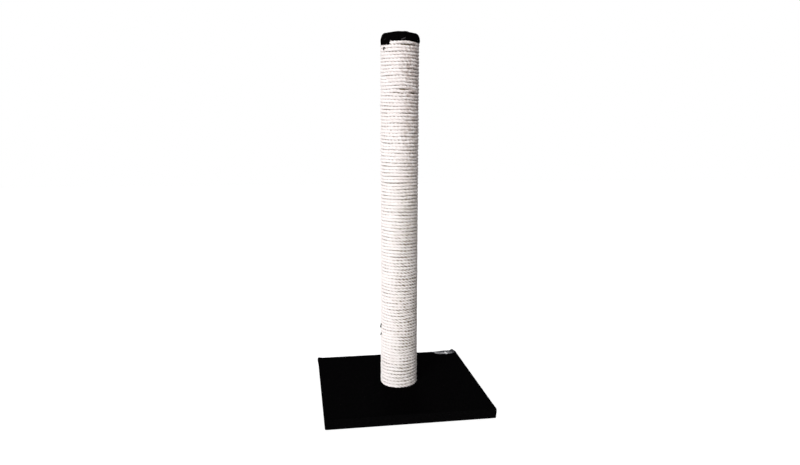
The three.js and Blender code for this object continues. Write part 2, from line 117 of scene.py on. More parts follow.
SHADED_SIDE = math.radians(-45)  # the side turned away from the key lamp, where the painted shade is strongest
SPECKLE_SHADE_SIDE = (0.65 * ROPE_AXIS, ROPE_AXIS)  # how far over to it the painted speckled shade sets in, and is full
GROOVE_SHADE_SIDE = (0.1 * ROPE_AXIS, 0.8 * ROPE_AXIS)  # the same for the painted shade between the turns
GROOVE = (ROPE_AXIS + 0.2 * MM, ROPE_AXIS + 3.0 * MM)  # radii with the most painted shade between the turns and with none
GROOVE_SHADE_BELOW = (0.40, 0.62)  # heights between which the painted groove shade goes from most to least
LESS_SHADE_AT_FOOT = (0.05, 0.18)  # heights between which the foot's lighter grooves, with less painted shade, end
SPECKLE_SHADE_ABOVE = (0.35, 0.80)  # heights between which the painted speckled shade goes from least to most
SHADE_YELLOWER_BELOW = (0.45, 0.75)  # heights between which the painted shade turns less yellow

SISAL_FIBRES = 2600
SISAL_LENGTHS = (3 * MM, 9 * MM)
SISAL_RADIUS = 0.11 * MM
SISAL_MARGIN = 20 * MM  # without fibres, at the rope's ends
SISAL_SUNK = 0.3 * MM  # how deep their roots are
SISAL_FRONT = 1.1  # how far round the rope they grow, in radians

# Black tufts caught in the rope: angle, height of upper and lower end, width (degrees, mm), fibres
TUFTS = [(-152.3, 861.4, 853.6, 6.5, 110), (180, 182, 170.5, 12, 460), (-178, 158, 151, 9, 240)]
TUFT_ROOTS = ROPE_SURFACE - 0.6 * MM  # from the post's axis
TUFT_TIPS = ROPE_SURFACE + 0.5 * MM
TUFT_RADIUS = 0.3 * MM

# ---- Base carpet ----

CARPET_THICK = 3.4 * MM  # backing and pile, as a sheet
CARPET_EDGE = 3.6 * MM  # outer radius of its folds over the board's edges
CARPET_CORNER = 0.6 * MM  # radius to which the top's own corners are rounded
CARPET_CELL = 2.6 * MM
TOP_SWELL = 0.2 * MM  # how far the top swells up and down
TOP_SWELLS = (31, 27)  # how fast, along x and y, in radians a metre
FOLD_STEPS = 6
SIDE_STEPS = 8
FOLD_SQUARE = 5  # how square the folds are on their outer side: 2 is round
PILE_PROUD = 0.9 * MM  # how far the pile stands out past the frame's carpet
PILE_ROUGH = 0.12 * MM  # uneven height of the pile
FOOT_RADIUS = 49 * MM  # where the post presses the pile flat
FOOT_SLOPE = 20 * MM
SIDE_WAYS = np.array([[1, 0, 0], [0, 1, 0], [-1, 0, 0], [0, -1, 0]], float)  # along the base's sides
FLAP_WIDTH = 35 * MM
FLAP_SWELL = 0.15 * MM
FLAP_SWELLS = 40
FLAP_DENT = 1.2 * MM  # how deep the base's staples press the flaps in
FLAP_DENT_MARGIN = 2.2 * MM  # how far past the wire a dent reaches
MITRE_SLIT = 1 * MM
BOLT_HOLE = 4.6 * MM
# How far the carpet bulges at each corner (mm), by its signs in x and y
CORNER_BULGES = {(-1, 1): 2.4, (1, 1): 0.8, (-1, -1): 0.6, (1, -1): 0.8}
CORNER_BULGE_REACH = 9 * MM
BULGE_HEIGHT = 0.75  # share of the base's height where it is greatest
BULGE_SPREAD = 0.4  # share over which it dies away
EDGE_FIBRES = 2400
EDGE_LENGTHS = (0.7 * MM, 1.7 * MM)
EDGE_RADIUS = 0.14 * MM
EDGE_SUNK = 0.2 * MM

# ---- Cap ----

CAP_COLUMNS = 288
CAP_STEP = math.radians(4)  # over which the skirt's edge steps down at the rope's end
CAP_FLAT_RADIUS = 34 * MM  # of the flat middle
CAP_FLAT_RINGS = (0.02, 0.3, 0.55, 0.8, 1.0)  # shares of that radius
CAP_SIDE = 47.4 * MM  # radius at the skirt's widest
CAP_LEAN = 1.4 * MM  # how much further it stands out at one side
CAP_LEAN_ANGLE = math.radians(-9)
CAP_RIM = TUBE_TOP + 4.6 * MM  # height of the flat middle's edge
CAP_CROWN = 0.8 * MM
CAP_DEPTH = 17.5 * MM  # from the rim down to the skirt's widest
CAP_SHOULDER = 0.9  # roundness of the shoulder: 1 is an ellipse, less is squarer
CAP_SHOULDER_RINGS = 28
CAP_RING_SPACING = 1.6  # above 1, they lie closer towards its foot
CAP_SKIRT_RINGS = (0.25, 0.5, 0.75, 0.9, 1.0)  # shares of the way to its edge
CAP_EDGE = TUBE_TOP - 15.6 * MM  # the skirt's lower edge, at the rope's upper end
CAP_DESCENT = 9.0 * MM  # how far it comes down in its one turn, along the rope
CAP_DESCENT_SPAN = (0.08, 0.84)  # share of the turn where that starts, and that it takes
CAP_TUCK = 2.2 * MM  # how far the skirt draws in at its edge
CAP_INNER = TUBE_RADIUS + 0.5 * MM
CAP_CEILING = TUBE_TOP + 0.5 * MM
CAP_CEILING_RINGS = (1, 0.5, 0.03)
# The cut edge under the skirt: share of the way in to the tube, rise (mm)
CAP_HEM = [(0.12, -0.35), (0.35, -0.3), (0.65, 0.3), (0.9, 1.2), (1.0, 2.6)]
# Main gathers at the rim: angle, rise, width clockwise and counter-clockwise (degrees, mm)
CAP_GATHERS = [(-104, 1.4, 24, 22), (-74, 1.6, 14, 9), (-14, 1.2, 12, 16), (38, 1.8, 20, 12),
               (92, 1.5, 14, 18), (141, 1.9, 22, 12), (180, 1.2, 14, 12)]
# Where the skirt's edge is drawn up or hangs down, in the same way
CAP_EDGE_WAVES = [(-178, 2.4, 14, 10), (-117, -1.0, 9, 8), (-105, -0.9, 2.5, 2.5), (-80, 1.1, 16, 14),
                  (-56, 1.7, 9, 7)]
CAP_EDGE_WANDER = (0.35 * MM, 0.06)  # how far it strays, and over what angle
CAP_PLEATS = 17
CAP_PLEAT_WIDTHS = (9.0, 3.2)  # clockwise and counter-clockwise, in degrees
CAP_PLEAT_DEPTH = 1.1 * MM
CAP_PLEAT_MEAN = 0.55  # share of it that is taken off again all round
CAP_PLEAT_RISE = 0.9 * MM  # of the skirt's edge at a pleat
CAP_STAPLES = 6
CAP_STAPLE_ANGLE = -88
CAP_STAPLE_TILT = math.radians(25)
HIGHLIGHTED_STAPLE = 1  # whose wire gets the lighter copy of the finish, a painted highlight
STAPLE_SEAT = 45.75 * MM  # radius to which it presses the skirt in
STAPLE_REACH = (6.2 * MM, 1.9 * MM)  # half length and half width of its dent
CAP_FIBRES = 260
CAP_FIBRE_LENGTHS = (1.2 * MM, 3.2 * MM)
CAP_FIBRE_RADIUS = 0.16 * MM
CAP_FIBRE_RISE = 0.4 * MM  # of their roots

# ---- Sticker ----

STICKER_THICK = 0.22 * MM
STICKER_LIFT = 0.1 * MM  # above the carpet's pile
STICKER_ARCS = 14
STICKER_COLUMNS = 48
STICKER_SQUARE = (0.85, 0.75)  # roundness in x and y: 1 is an ellipse, less is squarer
# Creases: place in x and y, half widths along them, height (mm)
STICKER_CREASES = [((190, 197), (5.5, 8), 5.2), ((168, 181), (4, 6), 1.2), ((178, 190), (3, 12), 0.7),
                   ((150, 190), (9, 5), 0.5), ((166, 199), (24, 6), 2.6)]
HIGHLIGHT_STRETCH = 0.4  # width of the painted highlight over its depth
HIGHLIGHT_PLACE = (168.5 * MM, 181 * MM * HIGHLIGHT_STRETCH, 25.5 * MM)  # its y is scaled as much
HIGHLIGHT_EDGE = (2.6 * MM, 4.6 * MM)  # how far from its middle it fades, and ends
HIGHLIGHT_ROUGH = 1 * MM  # how uneven that edge is

# ---- Stage, lights, and the camera as fitted to the photograph ----

WHITE = (1, 1, 1, 1)
WORLD_STRENGTH = 0.3
FLOOR_REACH = 6.0
FLOOR_GREY = (0.45, 0.45, 0.45, 1)  # what the floor throws back at the object
FLOOR_GLOW = 0.8  # what the camera sees besides, so that it is white but for the shadow
# Lamps: azimuth and elevation, strength, softness
LAMPS = {"key": (-35.5, 16, 3.25, 20), "back": (176, 25, 2.0, 24)}

IMAGE_WIDTH = 800
CAMERA_PLACE = Vector((-0.2516, -1.5592, 0.6752))
CAMERA_AZIMUTH = math.radians(-9.24)
CAMERA_PITCH = math.radians(9.34)
CAMERA_ROLL = math.radians(0.17)
CAMERA_FOCAL = 638.6  # in pixels of the photograph
SENSOR = 36.0


# ---- Small helpers ----


def ease(share):
    """Smooth step from 0 to 1."""
    share = np.clip(share, 0, 1)
    return share * share * (3 - 2 * share)


def wander(along, size, cell):
    """Smooth random values up to size along a line, with a new one every cell."""
    place = (along - along.min()) / cell
    knots = RNG.uniform(-1, 1, int(place.max()) + 3)
    step = place.astype(int)
    part = ease(place - step)
    return size * (knots[step] * (1 - part) + knots[step + 1] * part)


def waves(angle, height, size, tallest):
    """Smooth uneven field up to about size, nearly the same for neighbouring turns."""
    total = np.zeros_like(angle)
    for times in range(1, WAVE_ORDERS + 1):
        phase, slope = RNG.uniform(0, FULL_TURN, 2)
        total += np.sin(times * angle + phase) * np.sin(height * FULL_TURN * times / tallest + slope)
    return total * size / 2


def past(angle, where, full=FULL_TURN):
    """How far angles are past another one, the short way round."""
    return (angle - where + full / 2) % full - full / 2


def bell(angle, where, before, after):
    """Bell curve, with a width of its own on either side. All but the angle in degrees."""
    aside = past(np.degrees(angle), where, 360)
    return np.exp(-((aside / np.where(aside < 0, before, after)) ** 2))


def unit(rows):
    """Each row's vector at a length of one."""
    return rows / np.linalg.norm(rows, axis=1, keepdims=True)


def outward_at(angle):
    """Level unit vectors away from the post's axis."""
    return np.stack([np.cos(angle), np.sin(angle), np.zeros_like(angle)], -1)


def finished(piece, slot_name, material, *nodes):
    """Gives a piece its material and body, and hides the frame's nodes that it stands for; the slot name
    is not used.
    """
    piece.data.materials.append(material)
    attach(piece, BODY)
    if nodes:
        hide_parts(*nodes)


def piece_from(name, points, faces, smooth=True):
    """A new mesh object in the scene."""
    mesh = bpy.data.meshes.new(name)
    mesh.from_pydata(np.asarray(points).reshape(-1, 3).tolist(), [], faces)
    mesh.validate()
    mesh.polygons.foreach_set("use_smooth", [smooth] * len(mesh.polygons))
    mesh.update()
    piece = bpy.data.objects.new(name, mesh)
    bpy.context.scene.collection.objects.link(piece)
    return piece


def ring_faces(rings, sides):
    """Quads between rings of points, outward where order and advance follow the right hand."""
    ring, side = np.meshgrid(np.arange(rings - 1), np.arange(sides), indexing="ij")
    following = (side + 1) % sides
    near, far = ring * sides, (ring + 1) * sides
    quads = np.stack([near + side, near + following, far + following, far + side], -1)
    return quads.reshape(-1, 4).tolist()


def end_faces(rings, sides):
    """The two faces that close a tube through such rings."""
    last = (rings - 1) * sides
    return [list(range(sides))[::-1], list(range(last, last + sides))]


def vectors(items, name):
    """One vector of each of a mesh's points, as rows."""
    values = np.zeros(len(items) * 3, np.float32)
    items.foreach_get(name, values)
    return values.reshape(-1, 3)


def move_points(piece, points):
    piece.data.vertices.foreach_set("co", points.ravel())
    piece.data.update()


def roughen(piece, size, above):
    """Uneven pile: each point higher than above moves a little along its normal."""
    points = vectors(piece.data.vertices, "co")
    normals = vectors(piece.data.vertex_normals, "vector")
    shift = np.clip(RNG.normal(0, size, len(points)), -2 * size, 2 * size) * (points[:, 2] > above)
    points += normals * shift[:, None]
    move_points(piece, points)


def thicken(piece, thickness):
    """Makes a closed sheet of that thickness, inwards from the piece's surface."""
    solidify = piece.modifiers.new("thickness", "SOLIDIFY")
    solidify.thickness = thickness
    solidify.offset = -1
    solidify.use_even_offset = True
    depsgraph = bpy.context.evaluated_depsgraph_get()
    piece.data = bpy.data.meshes.new_from_object(piece.evaluated_get(depsgraph))
    piece.modifiers.clear()


def hairs(name, slot_name, material, roots, directions, lengths, radius, droop, segments=3, sides=3):
    """Short fibres: each a thin bent cone that starts at its root and goes its own way."""
    count = len(roots)
    directions = unit(directions)
    across = unit(np.cross(directions, RNG.normal(size=(count, 3))))
    upward = np.cross(directions, across)
    bend = RNG.normal(size=(count, 3)) * droop
    share = np.linspace(0, 1, segments + 1)
    middle = (roots[:, None] + directions[:, None] * (lengths[:, None] * share)[..., None]
              + bend[:, None] * (lengths[:, None] * share ** 2)[..., None])
    turn = np.arange(sides) * FULL_TURN / sides
    girth = radius * (1 - share[:-1] * 0.75)
    ring = across[:, None, None] * np.cos(turn)[:, None] + upward[:, None, None] * np.sin(turn)[:, None]
    points = middle[:, :-1, None] + ring * girth[:, None, None]
    points = np.concatenate([points.reshape(count, -1, 3), middle[:, -1:]], 1)
    size = segments * sides + 1
    last = (segments - 1) * sides
    one = ring_faces(segments, sides)
    one += [[last + i, last + (i + 1) % sides, size - 1] for i in range(sides)]
    one.append(list(range(sides))[::-1])
    faces = [[corner + hair * size for corner in face] for hair in range(count) for face in one]
    finished(piece_from(name, points, faces), slot_name, material)


# ---- Materials ----


class Finish:
    """A material's node tree with its main shader, and short ways to add to it."""

    def __init__(self, name, roughness, metallic=0.0, specular=0.5):
        self.material = bpy.data.materials.new(name)
        self.material.use_nodes = True
        self.tree = self.material.node_tree
        self.shader = self.tree.nodes["Principled BSDF"]
        self.give("Roughness", roughness)
        self.give("Metallic", metallic)
        self.give("Specular IOR Level", specular)

    def put(self, socket, value):
        """Sets a socket to a value, or links it to another socket."""
        if isinstance(value, bpy.types.NodeSocket):
            self.tree.links.new(value, socket)
        else:
            socket.default_value = value

    def give(self, name, value):
        """Sets or links one of the shader's inputs."""
        self.put(self.shader.inputs[name], value)

    def node(self, kind, settings=None, **inputs):
        """A new node of the tree."""
        made = self.tree.nodes.new("ShaderNode" + kind)
        for name, value in (settings or {}).items():
            setattr(made, name, value)
        for name, value in inputs.items():
            self.put(made.inputs[name], value)
        return made

    def place(self, scale, uv=None):
        """Coordinates in the object's metres, or on a UV map, times scale."""
        if uv:
            source = self.node("UVMap", {"uv_map": uv}).outputs["UV"]
        else:
            source = self.node("TexCoord").outputs["Object"]
        return self.node("Mapping", Vector=source, Scale=scale).outputs["Vector"]

    def noise(self, cells, uv=None, detail=2.0, roughness=0.5):
        """Smooth noise about 0.5, with that many cells in a metre along each axis."""
        place = self.place(cells, uv)
        made = self.node("TexNoise", Vector=place, Scale=1.0, Detail=detail, Roughness=roughness)
        return made.outputs["Fac"]

    def spread(self, value, low, high, to_low=0.0, to_high=1.0):
        """The value's range from low to high, stretched to another."""
        made = self.node("MapRange", Value=value)
        ends = {"From Min": low, "From Max": high, "To Min": to_low, "To Max": to_high}
        for name, number in ends.items():
            self.put(made.inputs[name], number)
        return made.outputs["Result"]

    def mix(self, share, first, second):
        """A colour from the first to the second, by a share from 0 to 1."""
        made = self.node("Mix", {"data_type": "RGBA"})
        for number, value in ((0, share), (6, first), (7, second)):
            self.put(made.inputs[number], value)
        return made.outputs[2]

    def math(self, operation, first, second):
        made = self.node("Math", {"operation": operation})
        self.put(made.inputs[0], first)
        self.put(made.inputs[1], second)
        return made.outputs[0]

    def product(self, first, *others):
        for other in others:
            first = self.math("MULTIPLY", first, other)
        return first

    def vector(self, operation, first, second=(0, 0, 0)):
        """The outputs of a calculation with vectors."""
        made = self.node("VectorMath", {"operation": operation})
        self.put(made.inputs[0], first)
        self.put(made.inputs[1], second)
        return made.outputs

    def color(self, value):
        self.give("Base Color", value)

    def bump(self, height, distance, strength):
        """Adds a bump to those that the shader has."""
        previous = self.shader.inputs["Normal"]
        made = self.node("Bump", Height=height, Distance=distance, Strength=strength)
        if previous.is_linked:
            self.tree.links.new(previous.links[0].from_socket, made.inputs["Normal"])
        self.put(previous, made.outputs["Normal"])


def rgb(red, green, blue):
    """A colour as a screen shows it, from 0 to 255, as the linear colour that nodes use."""
    shown = [value / 255 for value in (red, green, blue)]
    linear = [v / 12.92 if v <= 0.04045 else ((v + 0.055) / 1.055) ** 2.4 for v in shown]
    return (*linear, 1.0)


def sisal(name):
    """Bleached sisal: fine fibres along the strands, uneven yarns, and painted shade, speckled on one
    side and between the turns.
    """
    made = Finish(name, 0.9, specular=0.0)
    fibres = made.noise((260, 3400, 1), uv="lay", detail=4)
    yarns = made.noise((80, 900, 1), uv="lay")
    place = made.node("TexCoord").outputs["Object"]
    level = made.node("SeparateXYZ", Vector=place).outputs["Z"]
    flat = made.vector("MULTIPLY", place, (1, 1, 0))["Vector"]
    away = made.vector("LENGTH", flat)["Value"]
    side = (math.cos(SHADED_SIDE), math.sin(SHADED_SIDE), 0)
    towards = made.vector("DOT_PRODUCT", flat, side)["Value"]
    # hue of the painted shade tints, yellower low down
    warmth = made.spread(level, *SHADE_YELLOWER_BELOW, 1, 0)
    tint = made.mix(made.spread(fibres, 0.3, 0.7), rgb(240, 234, 232), rgb(253, 249, 249))
    tint = made.mix(made.spread(yarns, 0.4, 0.75, 0, 0.4), tint, rgb(224, 213, 209))
    # painted shade: a darker speckled tint on the shaded side, stronger towards the top
    speckle_shade_tint = made.mix(warmth, rgb(198, 184, 178), rgb(198, 187, 172))
    tint = made.mix(painted_speckle_shade(made, level, towards), tint, speckle_shade_tint)
    patches = made.noise((14, 14, 22))
    tint = made.mix(made.spread(patches, 0.4, 0.7, 0, 0.3), tint, rgb(242, 233, 231))
    # painted shade between the turns, mostly on the shaded side and lower down
    groove_shade_tint = made.mix(warmth, rgb(156, 139, 129), rgb(152, 139, 124))
    made.color(made.mix(painted_groove_shade(made, level, towards, away), tint, groove_shade_tint))
    made.bump(yarns, 0.6 * MM, 0.6)
    made.bump(fibres, 0.2 * MM, 0.6)
    return made.material


def painted_speckle_shade(made, level, towards):
    """How strong the painted speckled shade on the fluff is, by height and side, from tuft to tuft."""
    tufts = made.noise((150, 150, 190), detail=3)
    side = made.spread(towards, *SPECKLE_SHADE_SIDE, 0.2, 1)
    above = made.spread(level, *SPECKLE_SHADE_ABOVE, 0.3, 1.6)
    return made.product(side, above, made.spread(tufts, 0.42, 0.6, 0, 0.8))


def painted_groove_shade(made, level, towards, away):
    """How much painted shade lies there: between the turns, by height and side, in blots."""
    groove = made.spread(away, *GROOVE, 1, 0)
    side = made.spread(towards, *GROOVE_SHADE_SIDE, 0.1, 1)
    blots = made.spread(made.noise((85, 85, 120)), 0.35, 0.65, 0.3, 1)
    below = made.spread(level, *GROOVE_SHADE_BELOW, 1.6, 0.45)
    foot = made.spread(level, *LESS_SHADE_AT_FOOT, 0.65, 1)
    return made.product(groove, side, blots, below, foot)


def carpet(name):
    """Black cut pile: tufts in clumps, without any shine."""
    made = Finish(name, 1.0, specular=0.0)
    tufts = made.noise((620, 620, 620), detail=3, roughness=0.6)
    clumps = made.noise((120, 120, 120))
    shade = made.mix(made.spread(tufts, 0.35, 0.7), rgb(2, 2, 2), rgb(13, 12, 13))
    made.color(made.mix(made.spread(clumps, 0.4, 0.7, 0, 0.5), shade, rgb(4, 4, 5)))
    made.bump(clumps, 1.2 * MM, 0.35)
    made.bump(tufts, 1.0 * MM, 0.8)
    return made.material


def zinc(name):
    """Zinc-plated steel, faintly clouded and scratched."""
    made = Finish(name, 0.34, metallic=1.0)
    clouds = made.noise((160, 160, 160), detail=4)
    scratches = made.noise((900, 900, 60))
    made.color(made.mix(made.spread(clouds, 0.35, 0.65), rgb(176, 178, 182), rgb(206, 207, 208)))
    made.give("Roughness", made.spread(scratches, 0.3, 0.7, 0.26, 0.46))
    made.bump(scratches, 0.03 * MM, 0.5)
    return made.material


def dull_wire(name, dark, bright):
    """Blackened steel wire, worn brighter in places."""
    made = Finish(name, 0.5, metallic=1.0)
    wear_and_highlight = made.noise((400, 400, 400), detail=3)
    made.color(made.mix(made.spread(wear_and_highlight, 0.4, 0.7), dark, bright))
    made.give("Roughness", made.spread(wear_and_highlight, 0.3, 0.7, 0.4, 0.6))
    made.bump(wear_and_highlight, 0.05 * MM, 0.5)
    return made.material


def chipboard(name):
    """Pressed wood flakes, raw."""
    made = Finish(name, 0.78, specular=0.2)
    cells = made.node("TexVoronoi", Vector=made.place((260, 420, 260)), Scale=1.0)
    flakes = made.noise((90, 240, 90), detail=4)
    tint = made.mix(made.spread(flakes, 0.3, 0.7), rgb(150, 112, 70), rgb(206, 170, 118))
    shade = made.node("SeparateColor", Color=cells.outputs["Color"]).outputs["Red"]
    made.color(made.mix(made.spread(shade, 0, 1, 0, 0.45), tint, rgb(120, 84, 50)))
    made.bump(flakes, 0.4 * MM, 0.5)
    made.bump(cells.outputs["Distance"], 0.25 * MM, 0.4)
    return made.material


def pine(name):
    """Planed softwood with its rings."""
    made = Finish(name, 0.6, specular=0.3)
    rings = made.node("TexWave", {"wave_type": "RINGS", "rings_direction": "Z"},
                      Vector=made.place((70, 70, 12)), Scale=2.2, Distortion=3.0, Detail=2.0)
    fine = made.noise((500, 500, 40), detail=3)
    tint = made.mix(rings.outputs["Fac"], rgb(224, 192, 140), rgb(186, 142, 88))
    made.color(made.mix(made.spread(fine, 0.3, 0.7, 0, 0.35), tint, rgb(205, 165, 112)))
    made.bump(fine, 0.1 * MM, 0.5)
    return made.material


def cardboard(name):
    """Spirally wound brown board, with the seam between its plies."""
    made = Finish(name, 0.8, specular=0.2)
    fibres = made.noise((320, 320, 900), detail=4)
    seam = made.node("TexWave", {"wave_type": "BANDS", "bands_direction": "DIAGONAL"},
                     Vector=made.place((1, 1, 1)), Scale=7.0, Distortion=0.2)
    tint = made.mix(made.spread(fibres, 0.3, 0.7), rgb(132, 116, 94), rgb(164, 146, 120))
    made.color(made.mix(made.spread(seam.outputs["Fac"], 0.9, 1.0, 0, 0.4), tint, rgb(98, 84, 66)))
    made.bump(fibres, 0.15 * MM, 0.5)
    return made.material


def foil(name):
    """Blank grey sticker with a satin face, soft creases and one painted highlight in near-white."""
    made = Finish(name, 0.35, specular=0.02)
    mottle = made.noise((180, 180, 180), detail=4)
    creases = made.noise((60, 220, 60))
    grey = made.mix(made.spread(mottle, 0.35, 0.65), rgb(58, 58, 62), rgb(84, 84, 89))
    from_highlight = made.vector("DISTANCE", made.place((1, HIGHLIGHT_STRETCH, 1)), HIGHLIGHT_PLACE)["Value"]
    uneven = made.math("ADD", from_highlight, made.spread(mottle, 0.3, 0.7, -HIGHLIGHT_ROUGH, HIGHLIGHT_ROUGH))
    # a near-white painted highlight on the sticker's face
    made.color(made.mix(made.spread(uneven, *HIGHLIGHT_EDGE, 1, 0), grey, rgb(238, 238, 240)))
    made.give("Roughness", made.spread(mottle, 0.3, 0.7, 0.28, 0.45))
    made.bump(creases, 0.4 * MM, 0.4)
    return made.material


# ---- Rope ----


def gap_level(angle, height):
    """Height of the gap between two turns that is nearest to a height, at that angle."""
    first = ROPE_TOP - ROPE_PITCH * ((angle - ROPE_END) / FULL_TURN + 0.5)
    return first - round((first - height) / ROPE_PITCH) * ROPE_PITCH


def rope_line(along):
    """Angle and height of the rope's middle line, at lengths along it from its upper end."""
    turn = along / (FULL_TURN * ROPE_AXIS)
    share = np.clip((turn - ROPE_TURNS + FOOT_TURNS) / (FOOT_TURNS - 1), 0, 1)
    phase = (turn - ROPE_TURNS) % 1
    phase[turn >= ROPE_TURNS] = 0
    extra = share * (ease(phase / FOOT_RAMP) - phase)
    angle = ROPE_END + turn * FULL_TURN
    height = ROPE_TOP - (turn + extra) * ROPE_PITCH
    fade = ease((height - ROPE_FOOT) / STRAY_FROM_FOOT)
    fade *= ease((ROPE_TOP + STRAY_AT_TOP - height) / STRAY_FROM_TOP)
    stray = wander(along, *TURN_WANDER) + wander(along, *TURN_QUIVER)
    height += (waves(angle, height, *TURN_WAVES) + stray) * fade
    for where, level, width, opening in PARTINGS:
        where = math.radians(where)
        aside = past(angle, where) / math.radians(width)
        above = height - gap_level(where, level * MM)
        push = np.tanh(above / PARTING_SLOPE) * np.exp(-np.abs(above) / PARTING_REACH)
        height += push * np.exp(-(aside ** 2)) * (opening * MM) / 2
    return angle, height


def rope_samples():
    """Lengths along the rope at which its strands have rings, closer at the ends."""
    near_end = END_ROUND * END_RINGS
    steps = round((ROPE_LENGTH - 2 * END_ROUND) * STEPS_PER_LAY / ROPE_LAY)
    middle = np.linspace(END_ROUND, ROPE_LENGTH - END_ROUND, steps + 1)
    return np.concatenate([near_end, middle, ROPE_LENGTH - near_end[::-1]])


def strand_rings(along, angle, height, twist, away):
    """Rings of points round one strand, whose middle goes round the rope's."""
    from_end = np.minimum(along, along[-1] - along)
    spread = STRAND_OFFSET * (1 + wander(along, *STRAND_APART))
    spread += END_SPREAD * (1 - ease(from_end / END_SPREAD_LENGTH))
    twist = twist + wander(along, *STRAND_TWIST)
    rounding = np.sqrt(np.clip(1 - (1 - from_end / END_ROUND).clip(0) ** 2, 0.01, 1))
    girth = STRAND_RADIUS * (1 + wander(along, *STRAND_SWELL) + wander(along, *STRAND_LUMPS)) * rounding
    turn = np.arange(STRAND_SIDES) * FULL_TURN / STRAND_SIDES
    outward = away[:, None] + (spread * np.cos(twist))[:, None] + girth[:, None] * np.cos(turn)
    upward = (spread * np.sin(twist))[:, None] - girth[:, None] * np.sin(turn)
    upward = height[:, None] + upward * ROPE_SQUASH
    return np.stack([outward * np.cos(angle)[:, None], outward * np.sin(angle)[:, None], upward], -1)


def lay_uv(piece, along, start):
    """UV map in metres: along the rope, from a start of its own, and round the strand."""
    rings, sides = len(along), STRAND_SIDES
    ring, side = np.meshgrid(np.arange(rings - 1), np.arange(sides), indexing="ij")
    around = FULL_TURN * STRAND_RADIUS / sides
    u = np.stack([along[ring], along[ring], along[ring + 1], along[ring + 1]], -1) + start
    v = np.stack([side, side + 1, side + 1, side], -1) * around
    corners = np.zeros((len(piece.data.loops), 2))
    corners[: u.size] = np.stack([u.ravel(), v.ravel()], -1)
    layer = piece.data.uv_layers.new(name="lay")
    layer.data.foreach_set("uv", corners.ravel())


def rope_strands(material):
    """The rope's three strands, each one tube from end to end, wound round the post."""
    along = rope_samples()
    angle, height = rope_line(along)
    away = ROPE_AXIS + waves(angle, height, *DEPTH_WAVES) + wander(along, *DEPTH_WANDER)
    twist = -FULL_TURN * along / ROPE_LAY + wander(along, *LAY_WANDER) + wander(along, *LAY_QUIVER)
    for strand in range(STRANDS):
        shift = twist + strand * FULL_TURN / STRANDS
        rings = strand_rings(along, angle, height, shift, away)
        faces = ring_faces(len(along), STRAND_SIDES) + end_faces(len(along), STRAND_SIDES)
        piece = piece_from(f"rope_strand_{strand + 1}", rings, faces)
        lay_uv(piece, along, strand * LAY_START)
        finished(piece, "rope", material, "rope_winding")


def rope_fibres(material):
    """Stray sisal fibres that stand off the rope."""
    along = np.sort(RNG.uniform(SISAL_MARGIN, ROPE_LENGTH - SISAL_MARGIN, SISAL_FIBRES))
    angle, height = rope_line(along)
    round_rope = RNG.uniform(-SISAL_FRONT, SISAL_FRONT, SISAL_FIBRES)
    outward = outward_at(angle)
    onward = np.stack([-outward[:, 1], outward[:, 0], outward[:, 2]], -1)
    roots = outward * (ROPE_AXIS + ROPE_DIAMETER / 2 * np.cos(round_rope) - SISAL_SUNK)[:, None]
    roots[:, 2] = height + ROPE_DIAMETER / 2 * np.sin(round_rope)
    way = RNG.choice([-1, 1], SISAL_FIBRES)[:, None] * onward
    way = way + outward * RNG.uniform(0.05, 0.5, SISAL_FIBRES)[:, None]
    way[:, 2] += RNG.normal(0, 0.35, SISAL_FIBRES)
    lengths = RNG.uniform(*SISAL_LENGTHS, SISAL_FIBRES)
    hairs("rope_fibres", "rope", material, roots, way, lengths, SISAL_RADIUS, 0.18)


# ---- Base carpet ----


def carpet_lines(half):
    """Grid lines from side to side, closer where the corners are rounded."""
    straight = half - CARPET_CORNER
    count = round(2 * straight / CARPET_CELL)
    middle = np.linspace(-straight, straight, count + 1)
    return np.concatenate([[-half, -half + CARPET_CORNER / 2], middle, [half - CARPET_CORNER / 2, half]])


def round_corners(points, half):
    """Draws a square's corners in, so that they get the top's corner radius."""
    inner = np.clip(points, -(half - CARPET_CORNER), half - CARPET_CORNER)
    rest = points - inner
    reach = np.abs(rest).max(-1, keepdims=True)
    size = np.maximum(np.linalg.norm(rest, axis=-1, keepdims=True), 1e-9)
    return inner + rest / size * reach


def carpet_profile():
    """Section from the top's edge over the side to the flaps: how far out, and how high."""
    turns = [i * math.pi / 2 / FOLD_STEPS for i in range(1, FOLD_STEPS + 1)]
    high = BASE_TOP - CARPET_EDGE
    over = [(CARPET_EDGE * math.sin(a), high + CARPET_EDGE * math.cos(a)) for a in turns]
    side = [(CARPET_EDGE, height) for height in np.linspace(high, CARPET_EDGE, SIDE_STEPS)[1:]]
    under = [(CARPET_EDGE * math.cos(a), CARPET_EDGE * (1 - math.sin(a))) for a in turns]
    return over + side + under


def press_folds(points):
    """Squares the folds' outer side and raises the pile, except round the post's foot."""
    middle = np.clip(points, -(HALF_BASE - CARPET_EDGE), HALF_BASE - CARPET_EDGE)
    middle[:, 2] = np.clip(points[:, 2], CARPET_EDGE, BASE_TOP - CARPET_EDGE)
    reach = points - middle
    length = np.linalg.norm(reach, axis=1)
    square = (np.abs(reach) ** FOLD_SQUARE).sum(1) ** (1 / FOLD_SQUARE)
    outer = length > CARPET_EDGE / 2
    reach[outer] *= (length / np.maximum(square, 1e-9))[outer, None]
    growth = np.where(outer, PILE_PROUD / CARPET_EDGE, 0)
    reach[:, :2] *= 1 + growth[:, None]
    from_foot = np.hypot(points[:, 0], points[:, 1]) - FOOT_RADIUS
    reach[:, 2] *= 1 + growth * ease(from_foot / FOOT_SLOPE) * (reach[:, 2] > 0)
    pressed = middle + reach
    pressed[:, 2] = np.maximum(pressed[:, 2], 0)
    return pressed


